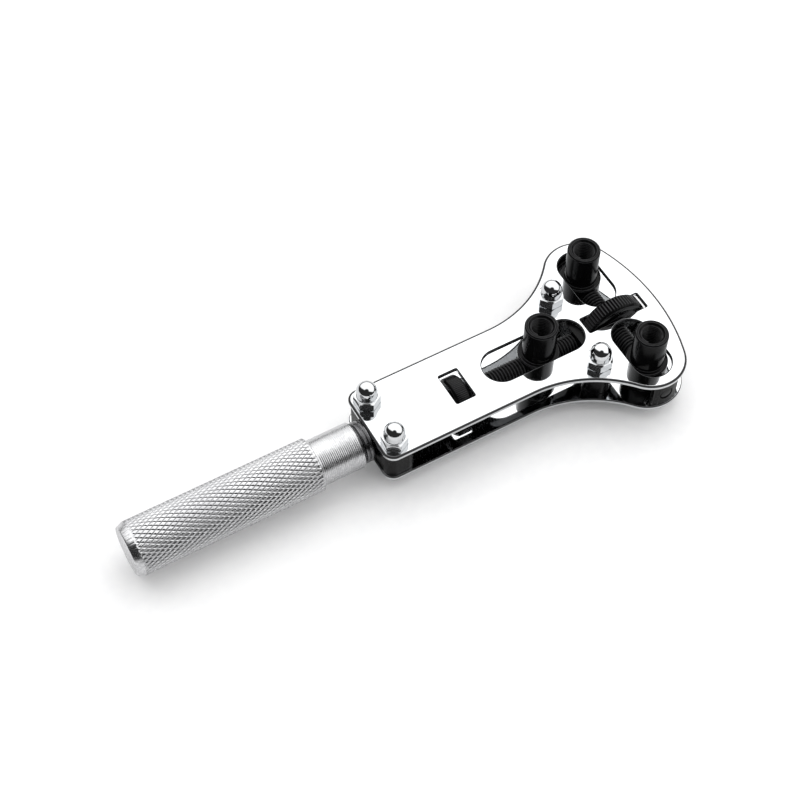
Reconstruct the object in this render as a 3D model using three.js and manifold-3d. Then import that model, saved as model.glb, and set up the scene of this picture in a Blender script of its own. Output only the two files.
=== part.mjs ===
// Case back opener: a three-jaw adjustable wrench for screw-down watch cases.
// Two mirror-finished plates, held apart by black blocks, carry three black posts with threaded
// sockets for the key bits. A long screw with a small thumb wheel moves the centre post along the
// tool. A cross screw, left-hand on one side and right-hand on the other, with a large thumb wheel
// in its middle, moves the two front posts apart and together. A knurled handle screws in behind.
//
// Millimetres, +Z up. Inside the tool group, X runs from the butt of the handle to the front edge
// and Z is measured from the plane that holds both screw axes and the handle's axis.

import * as THREE from 'three';
import { mergeVertices } from 'three/addons/utils/BufferGeometryUtils.js';
import Module from 'manifold-3d';

const wasm = await Module();
wasm.setup();

// Clearances
const seatGap = 0.1; // between faces that are clamped together
const runningGap = 0.15; // radial, shaft in bore, and end float
const threadGap = 0.2; // radial, outside of a screw to its tapped hole

// Handle
const gripLength = 57.2;
const gripRadius = 8;
const gripButtRadius = 7.1;
const gripButtChamfer = 2.2;
const neckLength = 13.8;
const neckRadius = 6.92;
const neckChamfer = 0.9;
const studRadius = 3;
const studDepthInHandle = 17;
const studDepthInBlock = 4.8;
const collarLength = 2.7;
const collarRadius = 6.2;

// Plates
const plateThickness = 1.5;
const plateGap = 8.5;
const headLength = 97.4;
const rearHalfWidth = 13;
const rearCornerRadius = 3.5;
const frontHalfWidth = 29.2;
const frontCornerRadius = 11;
const waistRadius = 36; // hollow curve between the straight sides and the front corners
const frontReach = 14.3; // cross screw axis to the front edge

// Handle block, between the plates at the rear
const blockSetback = 0.6; // rear edge of the plates stands behind the block by this much
const blockLength = 9;
const blockSideSetback = 0.8;
const blockCornerRadius = 2.8;

// Clamp screws and their domed nuts
const clampScrewRadius = 2;
const clampHeadRadius = 3.5;
const clampHeadHeight = 2.4;
const clampHeadSocketRadius = 1.6;
const clampHeadSocketDepth = 1.45;
const clampTipGap = 0.6; // end of the screw to the bottom of the nut's thread
const rearScrewInset = 4.1; // from the block's rear face
const rearScrewHalfSpacing = 7.9;
const frontScrewHalfSpacing = 13.1;
const nutAcrossFlats = 7;
const nutHexHeight = 3.1;
const nutDomeRadius = 3.1;
const nutHeight = 7.9;
const nutThreadDepth = 5;
const nutBottomChamfer = [0.5, 0.3]; // radial, axial, on the corners only
const nutTopChamfer = [0.8, 0.45];

// Lead screws
const screwRadius = 3;
const journalRadius = 2;
const journalLength = 2.4;

// Thumb wheels
const frontWheelRadius = 10.5;
const frontWheelWidth = 5;
const frontWheelDishInner = 4.6;
const frontWheelDishOuter = 8.4;
const frontWheelDishDepth = 0.6;
const rearWheelRadius = 6.5;
const rearWheelWidth = 4.8;
const rearWheelFromRear = 29.5; // rear edge of the plates to the middle of the rear wheel
const wheelChamfer = 0.7;
const wheelEndGap = 0.4; // rim to the end of its window
const wheelSideGap = 0.3;
const rearWheelSideGap = 0.6;
const setScrewRadius = 1.05;
const setScrewLength = 2.6;
const setScrewHoleOverrun = 0.5; // the hole breaks through into the bore

// Posts
const postRadius = 4.9;
const postHeight = 10.5; // above the top plate
const postEdge = 0.4;
const socketRadius = 3.38;
const socketDepth = 9;
const socketMouth = 0.45;
const slotSideGap = 0.85;
const bodyOverlap = 0.45; // the body under the plate is wider than the slot by this much a side
const footRadius = 2.8;
const footRecess = 0.2; // foot stops short of the bottom plate's outer face
const footSideGap = 0.2;

// Slots and webs of metal left between the openings
const slotToWindowWeb = 1.2;
const centreSlotLength = 33.2;
const frontSlotWeb = 0.8;
const bearingSlotMargin = 0.6;

// Front bridge and side bearings
const bridgeWebThickness = 2.5;
const bridgeWheelGap = 0.5;
const bridgeBossRadius = 4;
const bridgeBossOffset = 2.7; // boss centre behind the web's front face
const sideBearingThickness = 2.6;
const sideBearingHalfLength = 4.2;
const sideBearingEdgeSetback = 0.4;
const bearingPinRadius = 0.6;
const bearingPinInset = 1.1; // from the side bearing's inner face
const bearingPinOffset = 2.8; // either side of the cross screw
const bearingPinDepth = 2.6;

// Where the jaws stand
const centreJawFromCross = 25.9; // cross screw axis to the centre post
const frontJawHalfSpacing = 17.6;

// Stations along X
const neckFront = gripLength + neckLength;
const headRear = neckFront + collarLength + 2 * seatGap;
const blockRear = headRear + blockSetback;
const blockFront = blockRear + blockLength;
const headFront = headRear + headLength;
const crossX = headFront - frontReach;
const rearScrewX = blockRear + rearScrewInset;
const rearWheelX = headRear + rearWheelFromRear;
const bridgeFront = crossX - frontWheelRadius - bridgeWheelGap;
const bridgeRear = bridgeFront - bridgeWebThickness;
const frontScrewX = bridgeFront - bridgeBossOffset;

// Levels along Z
const innerFace = plateGap / 2;
const outerFace = innerFace + plateThickness;
const blockHalfHeight = innerFace - seatGap / 2;
const bodyHalfHeight = innerFace - runningGap;
const postTop = outerFace + postHeight;

// Openings in the plates
const chordAt = (radius, height) => Math.sqrt(radius ** 2 - height ** 2);
const frontWindowHalfLength = chordAt(frontWheelRadius, innerFace) + wheelEndGap;
const frontWindowHalfWidth = frontWheelWidth / 2 + wheelSideGap;
const rearWindowHalfLength = rearWheelWidth / 2 + rearWheelSideGap;
const rearWindowHalfWidth = chordAt(rearWheelRadius, innerFace) + wheelEndGap;
const slotHalfWidth = postRadius + slotSideGap;
const footSlotHalfWidth = footRadius + footSideGap;
const centreSlotFront = crossX - frontWindowHalfLength - slotToWindowWeb;
const centreSlotRear = centreSlotFront - centreSlotLength;
const frontSlotInner = frontWindowHalfWidth + frontSlotWeb;
const sideBearingOuter = frontHalfWidth - sideBearingEdgeSetback;
const sideBearingInner = sideBearingOuter - sideBearingThickness;
const frontSlotOuter = sideBearingInner - bearingSlotMargin;
const bodyRadius = slotHalfWidth + bodyOverlap;

// ---- solids ------------------------------------------------------------------------------

// A closed, indexed mesh with shared corners and no flat-out slivers, faces outward.
function closed(geometry) {
  const bare = geometry.clone();
  bare.deleteAttribute('normal');
  bare.deleteAttribute('uv');
  const merged = mergeVertices(bare, 1e-4);
  const kept = [];
  const index = merged.index.array;
  for (let i = 0; i < index.length; i += 3) {
    const [a, b, c] = [index[i], index[i + 1], index[i + 2]];
    if (a !== b && b !== c && c !== a) kept.push(a, b, c);
  }
  merged.setIndex(signedVolume(merged, kept) < 0 ? kept.reverse() : kept);
  return merged;
}

function signedVolume(geometry, index) {
  const corner = [0, 1, 2].map(() => new THREE.Vector3());
  let volume = 0;
  for (let i = 0; i < index.length; i += 3) {
    corner.forEach((v, k) => v.fromBufferAttribute(geometry.attributes.position, index[i + k]));
    volume += corner[0].dot(corner[1].cross(corner[2])) / 6;
  }
  return volume;
}

function toSolid(geometry) {
  const mesh = closed(geometry);
  return new wasm.Manifold(new wasm.Mesh({
    numProp: 3,
    vertProperties: new Float32Array(mesh.attributes.position.array),
    triVerts: new Uint32Array(mesh.index.array),
  }));
}

function toGeometry(solid) {
  const { vertProperties, triVerts } = solid.getMesh();
  const geometry = new THREE.BufferGeometry();
  geometry.setAttribute('position', new THREE.BufferAttribute(vertProperties, 3));
  geometry.setIndex(new THREE.BufferAttribute(triVerts, 1));
  return geometry;
}

const cut = (base, ...tools) =>
  toGeometry(tools.reduce((solid, tool) => solid.subtract(toSolid(tool)), toSolid(base)));
const join = (base, ...others) =>
  toGeometry(others.reduce((solid, other) => solid.add(toSolid(other)), toSolid(base)));
const common = (base, other) => toGeometry(toSolid(base).intersect(toSolid(other)));

// A profile of [radius, distance along the axis] turned about the X, Y or Z axis.
function turned(axis, profile, segments) {
  const geometry = new THREE.LatheGeometry(profile.map(([r, s]) => new THREE.Vector2(r, s)), segments);
  if (axis === 'x') geometry.rotateZ(-Math.PI / 2);
  if (axis === 'z') geometry.rotateX(Math.PI / 2);
  return closed(geometry);
}

// A plain round bar along an axis, between two distances.
const bar = (axis, radius, from, to, segments = 24) =>
  turned(axis, [[0, from], [radius, from], [radius, to], [0, to]], segments);

// A ring turned about an axis: the closed profile doesn't touch the axis.
function ring(axis, profile, segments) {
  return turned(axis, [...profile, profile[0]], segments);
}

function prism(shape, from, to) {
  const geometry = new THREE.ExtrudeGeometry(shape, {
    depth: to - from, bevelEnabled: false, curveSegments: 9,
  });
  return geometry.translate(0, 0, from);
}

// A stadium from one centre to another, its long way along X or Y.
function stadium(x, y, halfLength, halfWidth, along, Kind = THREE.Path) {
  const outline = new Kind();
  const reach = halfLength - halfWidth;
  const turn = along === 'x' ? 0 : Math.PI / 2;
  for (const side of [0, 1]) {
    const middle = turn + side * Math.PI;
    outline.absarc(x + reach * Math.cos(middle), y + reach * Math.sin(middle), halfWidth,
      middle - Math.PI / 2, middle + Math.PI / 2, false);
  }
  outline.closePath();
  return outline;
}

function rectangle(x, y, halfX, halfY, Kind = THREE.Path) {
  const outline = new Kind();
  outline.moveTo(x - halfX, y - halfY);
  outline.lineTo(x + halfX, y - halfY);
  outline.lineTo(x + halfX, y + halfY);
  outline.lineTo(x - halfX, y + halfY);
  outline.closePath();
  return outline;
}

function circle(x, y, radius, Kind = THREE.Path) {
  const outline = new Kind();
  outline.absarc(x, y, radius, 0, 2 * Math.PI, false);
  return outline;
}

// ---- plates ------------------------------------------------------------------------------

// Straight sides, hollow waist curves, round front corners and one shallow front arc, each
// arc tangent to the next.
function plateOutline() {
  const half = Math.PI / 2;
  const cornerY = frontHalfWidth - frontCornerRadius;
  const waistY = rearHalfWidth + waistRadius;
  const waistX = crossX - chordAt(waistRadius + frontCornerRadius, waistY - cornerY);
  const waistAngle = Math.atan2(waistY - cornerY, crossX - waistX);
  const frontRadius = (frontReach ** 2 + cornerY ** 2 - frontCornerRadius ** 2)
    / (2 * (frontReach - frontCornerRadius));
  const frontX = headFront - frontRadius;
  const frontAngle = Math.atan2(cornerY, crossX - frontX);
  const rearX = headRear + rearCornerRadius;
  const rearY = rearHalfWidth - rearCornerRadius;

  const shape = new THREE.Shape();
  shape.absarc(rearX, -rearY, rearCornerRadius, Math.PI, 3 * half, false);
  shape.absarc(waistX, -waistY, waistRadius, half, waistAngle, true);
  shape.absarc(crossX, -cornerY, frontCornerRadius, waistAngle - Math.PI, -frontAngle, false);
  shape.absarc(frontX, 0, frontRadius, -frontAngle, frontAngle, false);
  shape.absarc(crossX, cornerY, frontCornerRadius, frontAngle, Math.PI - waistAngle, false);
  shape.absarc(waistX, waistY, waistRadius, -waistAngle, -half, true);
  shape.absarc(rearX, rearY, rearCornerRadius, half, Math.PI, false);
  shape.closePath();
  return shape;
}

const clampScrewPlaces = [
  ['rear_left', rearScrewX, rearScrewHalfSpacing],
  ['rear_right', rearScrewX, -rearScrewHalfSpacing],
  ['front_left', frontScrewX, frontScrewHalfSpacing],
  ['front_right', frontScrewX, -frontScrewHalfSpacing],
];

// The windows and screw holes that both plates share, and one slot for each jaw.
function plate(slotHalf, from, to) {
  const shape = plateOutline();
  const ends = slotHalfWidth - slotHalf;
  const centreHalf = (centreSlotFront - centreSlotRear) / 2 - ends;
  const frontHalf = (frontSlotOuter - frontSlotInner) / 2 - ends;
  const frontMiddle = (frontSlotOuter + frontSlotInner) / 2;
  shape.holes.push(
    rectangle(rearWheelX, 0, rearWindowHalfLength, rearWindowHalfWidth),
    rectangle(crossX, 0, frontWindowHalfLength, frontWindowHalfWidth),
    stadium((centreSlotFront + centreSlotRear) / 2, 0, centreHalf, slotHalf, 'x'),
    stadium(crossX, frontMiddle, frontHalf, slotHalf, 'y'),
    stadium(crossX, -frontMiddle, frontHalf, slotHalf, 'y'),
    ...clampScrewPlaces.map(([, x, y]) => circle(x, y, clampScrewRadius + runningGap)),
  );
  return prism(shape, from, to);
}

const topPlate = () => plate(slotHalfWidth, innerFace, outerFace);

function bearingPinPlaces(side) {
  const y = side * (sideBearingInner + bearingPinInset);
  return [crossX - bearingPinOffset, crossX + bearingPinOffset].map((x) => [x, y]);
}

function bottomPlate() {
  const pinHoles = [1, -1].flatMap(bearingPinPlaces).map(([x, y]) =>
    bar('z', bearingPinRadius + seatGap, -outerFace - 1, -innerFace + 1, 12).translate(x, y, 0));
  return cut(plate(footSlotHalfWidth, -outerFace, -innerFace), ...pinHoles);
}

// ---- handle ------------------------------------------------------------------------------

function handleGrip() {
  const boreRadius = studRadius + threadGap;
  const boreEnd = neckFront - studDepthInHandle - seatGap;
  const shoulder = 0.4;
  return turned('x', [
    [0, 0], [gripButtRadius, 0],
    [gripRadius, gripButtChamfer], [gripRadius, gripLength - shoulder],
    [gripRadius - shoulder, gripLength], [neckRadius, gripLength],
    [neckRadius, neckFront - neckChamfer], [neckRadius - neckChamfer, neckFront],
    [boreRadius, neckFront], [boreRadius, boreEnd], [0, boreEnd - boreRadius / 2],
  ], 36);
}

function handleStud() {
  const lead = 0.6;
  const from = neckFront - studDepthInHandle;
  const to = blockRear + studDepthInBlock;
  return turned('x', [
    [0, from], [studRadius - lead, from], [studRadius, from + lead],
    [studRadius, to - lead], [studRadius - lead, to], [0, to],
  ], 24);
}

function handleCollar() {
  const edge = 0.3;
  const bore = studRadius + threadGap;
  const from = neckFront + seatGap;
  const to = from + collarLength;
  return ring('x', [
    [bore, from], [collarRadius - edge, from], [collarRadius, from + edge],
    [collarRadius, to - edge], [collarRadius - edge, to], [bore, to],
  ], 28);
}

function handleBlock() {
  const halfWidth = rearHalfWidth - blockSideSetback;
  const r = blockCornerRadius;
  const shape = new THREE.Shape();
  [[blockFront - r, 1], [blockRear + r, 1], [blockRear + r, -1], [blockFront - r, -1]]
    .forEach(([x, side], quarter) => shape.absarc(x, side * (halfWidth - r), r,
      quarter * Math.PI / 2, (quarter + 1) * Math.PI / 2, false));
  shape.closePath();
  rearScrewHoles().forEach((hole) => shape.holes.push(hole));
  const studHole = bar('x', studRadius + threadGap, blockRear - 1,
    blockRear + studDepthInBlock + runningGap, 24);
  const journalHole = bar('x', journalRadius + runningGap,
    blockFront - journalLength - 2 * runningGap, blockFront + 1, 24);
  return cut(prism(shape, -blockHalfHeight, blockHalfHeight), studHole, journalHole);
}

const rearScrewHoles = () => [1, -1].map((side) =>
  circle(rearScrewX, side * rearScrewHalfSpacing, clampScrewRadius + runningGap));

// ---- bearings ----------------------------------------------------------------------------

// Two bosses round the front clamp screws, joined by a web that carries the long screw's tip.
function frontBridge() {
  const boss = (side) => prism(
    circle(frontScrewX, side * frontScrewHalfSpacing, bridgeBossRadius, THREE.Shape),
    -blockHalfHeight, blockHalfHeight);
  const web = prism(
    rectangle((bridgeFront + bridgeRear) / 2, 0, bridgeWebThickness / 2, frontScrewHalfSpacing, THREE.Shape),
    -blockHalfHeight, blockHalfHeight);
  const screwHole = (side) => bar('z', clampScrewRadius + runningGap, -innerFace, innerFace)
    .translate(frontScrewX, side * frontScrewHalfSpacing, 0);
  const journalHole = bar('x', journalRadius + runningGap, bridgeRear - 1, bridgeFront + 1);
  return cut(join(web, boss(1), boss(-1)), journalHole, screwHole(1), screwHole(-1));
}

// A block whose outer face follows the round front corner of the plates.
function sideBearing(side) {
  const cornerY = frontHalfWidth - frontCornerRadius;
  const disc = prism(
    circle(crossX, side * cornerY, frontCornerRadius - sideBearingEdgeSetback, THREE.Shape),
    -blockHalfHeight, blockHalfHeight);
  const middleY = side * (sideBearingInner + sideBearingThickness / 2);
  const bounds = prism(
    rectangle(crossX, middleY, sideBearingHalfLength, sideBearingThickness / 2, THREE.Shape),
    -blockHalfHeight - 1, blockHalfHeight + 1);
  const journalHole = bar('y', journalRadius + runningGap, -frontHalfWidth, frontHalfWidth)
    .translate(crossX, 0, 0);
  const pinHoles = bearingPinPlaces(side).map(([x, y]) =>
    bar('z', bearingPinRadius + seatGap, -innerFace - 1, -blockHalfHeight + bearingPinDepth + seatGap, 12)
      .translate(x, y, 0));
  return cut(common(disc, bounds), journalHole, ...pinHoles);
}

const bearingPin = ([x, y]) =>
  bar('z', bearingPinRadius, -outerFace, -blockHalfHeight + bearingPinDepth, 12).translate(x, y, 0);

// ---- screws and wheels -------------------------------------------------------------------

// A screw with a journal at each end, turning between the shoulders of its two bearings.
function leadScrew(axis, shoulderFrom, shoulderTo) {
  const lead = 0.3;
  return turned(axis, [
    [0, shoulderFrom - journalLength], [journalRadius - lead, shoulderFrom - journalLength],
    [journalRadius, shoulderFrom - journalLength + lead], [journalRadius, shoulderFrom],
    [screwRadius, shoulderFrom], [screwRadius, shoulderTo], [journalRadius, shoulderTo],
    [journalRadius, shoulderTo + journalLength - lead],
    [journalRadius - lead, shoulderTo + journalLength], [0, shoulderTo + journalLength],
  ], 24);
}

const longScrew = () => leadScrew('x', blockFront + runningGap, bridgeRear - runningGap);

function crossScrew() {
  const shoulder = sideBearingInner - runningGap;
  return leadScrew('y', -shoulder, shoulder).translate(crossX, 0, 0);
}

// The set screw comes in from the rim, at the bottom, down to the lead screw.
function setScrewHole(x, wheelRadius) {
  return bar('z', setScrewRadius + seatGap, -wheelRadius - 1, -screwRadius + setScrewHoleOverrun, 12).translate(x, 0, 0);
}

function setScrew(x) {
  const tip = -screwRadius - seatGap;
  return bar('z', setScrewRadius, tip - setScrewLength, tip, 12).translate(x, 0, 0);
}

function rearWheel() {
  const half = rearWheelWidth / 2;
  const bore = screwRadius + seatGap;
  const wheel = ring('x', [
    [bore, -half], [rearWheelRadius - wheelChamfer, -half],
    [rearWheelRadius, -half + wheelChamfer], [rearWheelRadius, half - wheelChamfer],
    [rearWheelRadius - wheelChamfer, half], [bore, half],
  ], 32).translate(rearWheelX, 0, 0);
  return cut(wheel, setScrewHole(rearWheelX, rearWheelRadius));
}

function frontWheel() {
  const half = frontWheelWidth / 2;
  const floor = half - frontWheelDishDepth;
  const bore = screwRadius + seatGap;
  const side = [
    [frontWheelRadius, half - wheelChamfer], [frontWheelRadius - wheelChamfer, half],
    [frontWheelDishOuter, half], [frontWheelDishOuter - frontWheelDishDepth, floor],
    [frontWheelDishInner + frontWheelDishDepth, floor], [frontWheelDishInner, half],
    [bore, half],
  ];
  const mirrored = side.map(([r, y]) => [r, -y]).reverse();
  const wheel = ring('y', [...mirrored, ...side], 40).translate(crossX, 0, 0);
  return cut(wheel, setScrewHole(crossX, frontWheelRadius));
}

// ---- jaws --------------------------------------------------------------------------------

// One turned piece: a foot guided by the bottom plate, a wide body tapped across for its lead
// screw, and the post, with a blind threaded socket for a key bit.
function jaw(x, y, screwAxis) {
  const bodyEdge = 0.3;
  const foot = -outerFace + footRecess;
  const socketFloor = postTop - socketDepth;
  const blank = turned('z', [
    [0, foot], [footRadius, foot], [footRadius, -bodyHalfHeight],
    [bodyRadius - bodyEdge, -bodyHalfHeight], [bodyRadius, -bodyHalfHeight + bodyEdge],
    [bodyRadius, bodyHalfHeight - bodyEdge], [bodyRadius - bodyEdge, bodyHalfHeight],
    [postRadius, bodyHalfHeight],
    [postRadius, postTop - postEdge], [postRadius - postEdge, postTop],
    [socketRadius + socketMouth, postTop], [socketRadius, postTop - socketMouth],
    [socketRadius, socketFloor], [0, socketFloor],
  ], 32);
  const tapped = bar(screwAxis, screwRadius + threadGap, -2 * bodyRadius, 2 * bodyRadius, 24);
  return cut(blank, tapped).translate(x, y, 0);
}

const centreJawX = crossX - centreJawFromCross;

// ---- fasteners ---------------------------------------------------------------------------

function clampScrew(x, y) {
  const edge = 0.4;
  const headBottom = -outerFace - seatGap - clampHeadHeight;
  const tip = outerFace + seatGap + nutThreadDepth - clampTipGap;
  const screw = turned('z', [
    [0, headBottom], [clampHeadRadius - edge, headBottom], [clampHeadRadius, headBottom + edge],
    [clampHeadRadius, headBottom + clampHeadHeight], [clampScrewRadius, headBottom + clampHeadHeight],
    [clampScrewRadius, tip - edge], [clampScrewRadius - edge, tip], [0, tip],
  ], 20);
  const key = bar('z', clampHeadSocketRadius, headBottom - 1, headBottom + clampHeadSocketDepth, 6);
  return cut(screw, key).translate(x, y, 0);
}

// A hexagon with a dome, closed at the top and tapped from below.
function domedNut(x, y) {
  const base = outerFace + seatGap;
  const cornerRadius = nutAcrossFlats / Math.sqrt(3);
  const hexTop = base + nutHexHeight;
  const hexMiddle = base + nutHexHeight / 2;
  const domeCentre = base + nutHeight - nutDomeRadius;
  const domeAngles = [0, 1, 2, 3].map((i) => i * Math.PI / 8);
  const hexagon = bar('z', cornerRadius, base, hexTop, 6);
  const turnedDown = turned('z', [
    [0, base], [cornerRadius - nutBottomChamfer[0], base], [cornerRadius, base + nutBottomChamfer[1]],
    [cornerRadius, hexTop - nutTopChamfer[1]], [cornerRadius - nutTopChamfer[0], hexTop], [0, hexTop],
  ], 18);
  const crown = turned('z', [
    [0, hexMiddle], [nutDomeRadius, hexMiddle],
    ...domeAngles.map((a) => [nutDomeRadius * Math.cos(a), domeCentre + nutDomeRadius * Math.sin(a)]),
    [0, base + nutHeight],
  ], 20);
  const thread = bar('z', clampScrewRadius + runningGap, base - 1, base + nutThreadDepth, 20);
  return cut(join(common(hexagon, turnedDown), crown), thread).translate(x, y, 0);
}

// ---- materials and assembly --------------------------------------------------------------

const finish = (color, roughness, metalness = 1) =>
  new THREE.MeshStandardMaterial({ color, roughness, metalness });
const mirrorSteel = () => finish(0xdfe2e5, 0.06);
const plainSteel = () => finish(0xb9bdc2, 0.3);
const brightAluminium = () => finish(0xd6d8da, 0.35);
const blackSteel = () => finish(0x16171a, 0.32);

const tool = new THREE.Group();

function add(name, geometry, material) {
  const mesh = new THREE.Mesh(geometry, material);
  mesh.name = name;
  tool.add(mesh);
}

add('top_plate', topPlate(), mirrorSteel());
add('bottom_plate', bottomPlate(), mirrorSteel());
add('handle_grip', handleGrip(), brightAluminium());
add('handle_stud', handleStud(), plainSteel());
add('handle_collar', handleCollar(), blackSteel());
add('handle_block', handleBlock(), blackSteel());
add('front_bridge', frontBridge(), blackSteel());
for (const [name, side] of [['left', 1], ['right', -1]]) {
  add(`side_bearing_${name}`, sideBearing(side), blackSteel());
  bearingPinPlaces(side).forEach((place, i) =>
    add(`bearing_pin_${name}_${i + 1}`, bearingPin(place), plainSteel()));
  add(`${name}_jaw_post`, jaw(crossX, side * frontJawHalfSpacing, 'y'), blackSteel());
}
add('centre_jaw_post', jaw(centreJawX, 0, 'x'), blackSteel());
add('long_screw', longScrew(), blackSteel());
add('rear_wheel', rearWheel(), blackSteel());
add('rear_wheel_set_screw', setScrew(rearWheelX), plainSteel());
add('cross_screw', crossScrew(), blackSteel());
add('front_wheel', frontWheel(), blackSteel());
add('front_wheel_set_screw', setScrew(crossX), plainSteel());
for (const [name, x, y] of clampScrewPlaces) {
  add(`clamp_screw_${name}`, clampScrew(x, y), plainSteel());
  add(`domed_nut_${name}`, domedNut(x, y), mirrorSteel());
}

// The tool rests on its front wheel: the origin is the middle of its box, at the bottom.
tool.position.set(-headFront / 2, 0, frontWheelRadius);

export default tool;
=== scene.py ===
import math

import bmesh
import bpy
import numpy as np
from mathutils import Matrix, Vector
from mathutils.geometry import delaunay_2d_cdt


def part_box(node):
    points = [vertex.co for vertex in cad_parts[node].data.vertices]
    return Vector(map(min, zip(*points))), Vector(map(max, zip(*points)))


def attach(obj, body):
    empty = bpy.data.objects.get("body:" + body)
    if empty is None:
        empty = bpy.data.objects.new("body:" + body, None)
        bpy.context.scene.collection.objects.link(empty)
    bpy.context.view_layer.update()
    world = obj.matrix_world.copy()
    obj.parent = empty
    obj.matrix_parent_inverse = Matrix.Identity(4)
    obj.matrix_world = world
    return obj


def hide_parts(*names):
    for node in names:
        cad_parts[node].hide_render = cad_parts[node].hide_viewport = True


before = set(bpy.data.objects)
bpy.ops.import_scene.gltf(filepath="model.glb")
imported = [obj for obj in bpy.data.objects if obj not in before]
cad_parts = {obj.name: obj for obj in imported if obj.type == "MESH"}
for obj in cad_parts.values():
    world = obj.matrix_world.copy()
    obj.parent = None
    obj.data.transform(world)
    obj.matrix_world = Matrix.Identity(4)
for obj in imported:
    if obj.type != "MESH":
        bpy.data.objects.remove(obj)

mm = 0.001  # every size below is in millimetres, and meshes are stored in metres
fullTurn = 2 * math.pi
outlineSpacing = 0.45  # between the points of an outline's arcs
quarterSteps = 5  # facets round a plate's rounded edge, at each face
insideOnly = 1  # the triangle filler's way of working that keeps inside the outlines
fillLimit = 1e-6  # points closer than this would be one point to the filler
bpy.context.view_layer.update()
print("frame loaded:", len(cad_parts), "parts")


# The box of a part, as its lowest and highest corner in millimetres.
def boxOf(node):
    low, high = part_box(node)
    return np.array(low) / mm, np.array(high) / mm


# The middle of a part's box: half the sum of its two corners.
def middleOf(node):
    low, high = boxOf(node)
    return (low + high) / 2


# Mesh making

# Each corner of a line of [radius, distance] points becomes a short parabola: with A and B the points
# `size` along the two legs and K the corner, P(t) = (1-t)^2 A + 2t(1-t) K + t^2 B.
# The third column, sin(pi t), is 1 in the middle of the parabola and 0 on the straights, and marks
# the edges that get wear and painted light: painted highlights on the blackened parts, a painted dark line on
# the plating.
def roundCorners(points, size, steps=4):
    points = np.asarray(points, float)
    before, corner, after = points[:-2], points[1:-1], points[2:]
    towardsBefore = before - corner
    towardsAfter = after - corner
    lengthBefore = np.linalg.norm(towardsBefore, axis=1, keepdims=True)
    lengthAfter = np.linalg.norm(towardsAfter, axis=1, keepdims=True)
    reach = np.minimum(size, 0.45 * np.minimum(lengthBefore, lengthAfter))
    legA = corner + towardsBefore / lengthBefore * reach
    legB = corner + towardsAfter / lengthAfter * reach
    t = np.linspace(0, 1, steps + 1)[None, :, None]
    curve = (1 - t) ** 2 * legA[:, None] + 2 * t * (1 - t) * corner[:, None] + t ** 2 * legB[:, None]
    line = np.vstack([points[:1], curve.reshape(-1, 2), points[-1:]])
    edgeWearAndLight = np.tile(np.sin(math.pi * t.ravel()), len(corner))
    return np.column_stack([line, np.concatenate([[0], edgeWearAndLight, [0]])])


# Angles round a turned piece: `count` steps, with the last angle on top of the first.
def turnAngles(count):
    return np.linspace(0, fullTurn, count + 1)


# A round stretch of surface: every profile point is carried round unchanged.
# A block is three tables with a row for each profile point and a column for each angle:
# radius, distance along the axis, and wear and painted light.
def plainBlock(profile, angles, rounding=0.15, steps=4):
    line = roundCorners(profile, rounding, steps)
    return np.repeat(line.T[:, :, None], len(angles), axis=2)


# A screw thread whose rows run along the helix: a row at phase f lies at
# start + pitch * (f + hand * angle / full turn), held between start and end, where it takes endRadius.
def threadBlock(crest, root, pitch, start, end, angles, endRadius, hand=1):
    stations = np.array([0, 0.14, 0.5, 0.64])
    onCrest = np.array([1.0, 1.0, 0, 0])
    turns = math.ceil((end - start) / pitch) + 2
    phase = (np.arange(-1, turns)[:, None] + stations).ravel()
    crestRow = np.tile(onCrest, turns + 1)[:, None]
    along = start + pitch * (phase[:, None] + hand * angles / fullTurn)
    radius = root + (crest - root) * crestRow + 0 * along
    beyond = (along < start) | (along > end)
    radius = np.where(beyond, endRadius, radius)
    wearAndPaintedLight = np.where(beyond, 0, crestRow + 0 * along)
    return np.array([radius, np.clip(along, start, end), wearAndPaintedLight])


# Grooves cut along the axis: with p the angle's place within one groove's share of the turn,
# radius = profile radius - share * depth where p is a whole number, and the full radius elsewhere.
def groovedBlock(profile, angles, count, depth):
    profile = np.asarray(profile, float)
    place = np.round(angles / fullTurn * count * 4) % 4
    groove = np.where(place == 0, depth, 0)
    radius = profile[:, :1] - profile[:, 2:] * groove
    along = profile[:, 1:2] + 0 * radius
    wearAndPaintedLight = profile[:, 2:] * (place == 2)
    return np.array([radius, along, wearAndPaintedLight + 0 * radius])


# A six-sided radius with soft corners: with c the cosines of the angle to each pair of flats,
# radius = half across flats / (sum of |c|^power)^(1/power). `turned` moves the flats round, in degrees.
def hexagonRadius(acrossFlats, angles, power=60, turned=0.0):
    flats = np.arange(3)[:, None] * math.pi / 3 + math.pi / 6 + math.radians(turned)
    cosines = np.abs(np.cos(angles[None, :] - flats))
    return acrossFlats / 2 / np.sum(cosines ** power, axis=0) ** (1 / power)


# Two triangles for each cell of a grid, split along whichever diagonal a knurl line follows.
def diagonalFaces(rows, columns, firstRow, period):
    row, column = np.meshgrid(np.arange(rows - 1), np.arange(columns - 1), indexing="ij")
    a = (row + firstRow) * columns + column
    b, c, d = a + 1, a + columns + 1, a + columns
    against = ((row + column + 1) % period == 0)[:, :, None]
    first = np.where(against, np.stack([a, b, d], -1), np.stack([a, b, c], -1))
    second = np.where(against, np.stack([b, c, d], -1), np.stack([a, c, d], -1))
    return np.concatenate([first.reshape(-1, 3), second.reshape(-1, 3)])


# Four-sided faces of a grid.
def gridFaces(rows, columns, firstRow=0):
    row, column = np.meshgrid(np.arange(rows - 1), np.arange(columns - 1), indexing="ij")
    a = ((row + firstRow) * columns + column).ravel()
    return np.stack([a, a + 1, a + columns + 1, a + columns], -1)


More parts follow.
